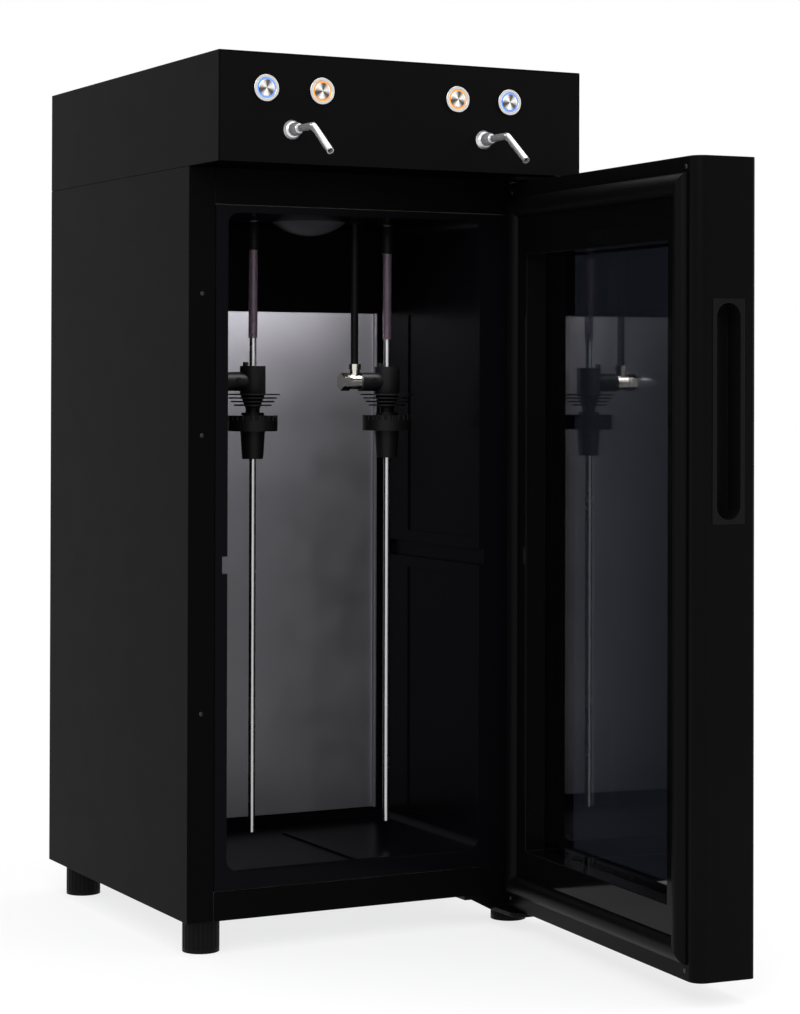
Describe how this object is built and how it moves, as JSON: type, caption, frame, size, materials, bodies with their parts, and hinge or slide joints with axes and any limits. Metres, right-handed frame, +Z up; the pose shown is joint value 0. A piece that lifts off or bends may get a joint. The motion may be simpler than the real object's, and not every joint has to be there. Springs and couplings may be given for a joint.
{
  "type": "wine preservation dispenser",
  "caption": "Cooled cabinet that keeps open wine under gas and pours it from front spouts at the press of a button, with a swinging glass door.",
  "frame": {"origin": "on the floor under the middle of the bounding box, with the door open as in the picture", "axes": "+Z up, -Y the front with the spouts and the bottle space's opening, +X the hinged side of the door"},
  "size_m": [0.292, 0.5742, 0.62],
  "materials": {
    "cabinet_paint": "fine-textured satin black powder coat",
    "plain_steel": "zinc-plated sheet",
    "liner_plastic": "smooth black with a blue cast",
    "foam": "closed-cell foam",
    "satin_aluminium": "satin anodised",
    "ceramic": "white ceramic",
    "fan_plastic": "matte black",
    "supply_case": "plain sheet",
    "inlet_plastic": "matte black",
    "rocker_plastic": "gloss black",
    "circuit_board": "lacquered",
    "button_steel": "turned stainless",
    "button_light": "lit ring",
    "spout_chrome": "polished",
    "valve_plastic": "matte",
    "fitting_nickel": "nickel-plated brass",
    "wine_line": "clear tube holding wine",
    "lamp_plastic": "frosted",
    "black_rubber": "matte",
    "head_plastic": "moulded black",
    "dip_steel": "drawn stainless tube",
    "gas_hose": "satin black",
    "hinge_steel": "satin black",
    "bush_nylon": "nylon",
    "door_plastic": "satin black skin",
    "door_lining": "satin black",
    "tinted_glass": "dark, mirror-like",
    "handle_plastic": "fine-grained black",
    "foot_plastic": "matte black"
  },
  "bodies": {
    "cabinet": {"side_panel_left": "cabinet_paint", "side_panel_right": "cabinet_paint", "back_panel": "cabinet_paint", "base_plate": "plain_steel", "bottom_rail": "cabinet_paint", "top_rail": "cabinet_paint", "cavity_liner": "liner_plastic", "foam_insulation": "foam", "cold_plate": "satin_aluminium", "cold_block": "satin_aluminium", "peltier_module": "ceramic", "heat_sink": "satin_aluminium", "fan_frame": "fan_plastic", "power_supply": "supply_case", "power_inlet": "inlet_plastic", "control_board": "circuit_board", "header_shell": "cabinet_paint", "header_floor": "cabinet_paint", "control_panel": "cabinet_paint", "button_housings": "button_steel", "button_led_rings": "button_light", "spouts": "spout_chrome", "spout_flanges": "spout_chrome", "solenoid_valves": "valve_plastic", "gas_inlet": "fitting_nickel", "gas_manifold": "satin_aluminium", "header_tubes": "wine_line", "lamp_lens": "lamp_plastic", "tube_grommets": "black_rubber", "hinge_bracket_lower": "hinge_steel", "hinge_bracket_upper": "hinge_steel"},
    "door": {"door_frame": "door_plastic", "door_liner": "door_lining", "outer_glass": "tinted_glass", "inner_glass": "tinted_glass", "door_gasket": "black_rubber", "handle_insert": "handle_plastic", "hinge_bushes": "bush_nylon"},
    "head_left": {"head_body_left": "head_plastic", "bottle_collar_left": "head_plastic", "dip_tube_left": "dip_steel", "wine_tube_left": "wine_line", "gas_tube_left": "gas_hose", "gas_elbow_left": "fitting_nickel"},
    "head_right": {"head_body_right": "head_plastic", "bottle_collar_right": "head_plastic", "dip_tube_right": "dip_steel", "wine_tube_right": "wine_line", "gas_tube_right": "gas_hose", "gas_elbow_right": "fitting_nickel"},
    "fan": {"fan_rotor": "fan_plastic"},
    "rocker": {"power_switch": "rocker_plastic"},
    "button_1": {"button_cap_1": "button_steel"},
    "button_2": {"button_cap_2": "button_steel"},
    "button_3": {"button_cap_3": "button_steel"},
    "button_4": {"button_cap_4": "button_steel"},
    "foot_fl": {"foot_front_left": "foot_plastic"},
    "foot_fr": {"foot_front_right": "foot_plastic"},
    "foot_rl": {"foot_rear_left": "foot_plastic"},
    "foot_rr": {"foot_rear_right": "foot_plastic"}
  },
  "joints": [
    {"name": "door_swing", "type": "hinge", "parent": "cabinet", "child": "door", "pos_m": [0.11737, -0.02541, 0], "axis": [0, 0, 1], "range_deg": [-86, 12]},
    {"name": "head_left_swing", "type": "hinge", "parent": "cabinet", "child": "head_left", "pos_m": [-0.07093, 0.05609, 0.514], "axis": [1, 0, 0], "range_deg": [-6, 10]},
    {"name": "head_right_swing", "type": "hinge", "parent": "cabinet", "child": "head_right", "pos_m": [0.03807, 0.05609, 0.514], "axis": [1, 0, 0], "range_deg": [-6, 10]},
    {"name": "fan_spin", "type": "hinge", "parent": "cabinet", "child": "fan", "pos_m": [-0.01643, 0.23609, 0.2575], "axis": [0, 1, 0], "continuous": true},
    {"name": "power_rocker", "type": "hinge", "parent": "cabinet", "child": "rocker", "pos_m": [0.08097, 0.26909, 0.076], "axis": [1, 0, 0], "range_deg": [-16, 0]},
    {"name": "button_1_press", "type": "slide", "parent": "cabinet", "child": "button_1", "axis": [0, 1, 0], "range_m": [0, 0.002], "stiffness_N_per_m": 400},
    {"name": "button_2_press", "type": "slide", "parent": "cabinet", "child": "button_2", "axis": [0, 1, 0], "range_m": [0, 0.002], "stiffness_N_per_m": 400},
    {"name": "button_3_press", "type": "slide", "parent": "cabinet", "child": "button_3", "axis": [0, 1, 0], "range_m": [0, 0.002], "stiffness_N_per_m": 400},
    {"name": "button_4_press", "type": "slide", "parent": "cabinet", "child": "button_4", "axis": [0, 1, 0], "range_m": [0, 0.002], "stiffness_N_per_m": 400},
    {"name": "foot_fl_height", "type": "slide", "parent": "cabinet", "child": "foot_fl", "axis": [0, 0, -1], "range_m": [0, 0.008]},
    {"name": "foot_fr_height", "type": "slide", "parent": "cabinet", "child": "foot_fr", "axis": [0, 0, -1], "range_m": [0, 0.008]},
    {"name": "foot_rl_height", "type": "slide", "parent": "cabinet", "child": "foot_rl", "axis": [0, 0, -1], "range_m": [0, 0.008]},
    {"name": "foot_rr_height", "type": "slide", "parent": "cabinet", "child": "foot_rr", "axis": [0, 0, -1], "range_m": [0, 0.008]}
  ]
}
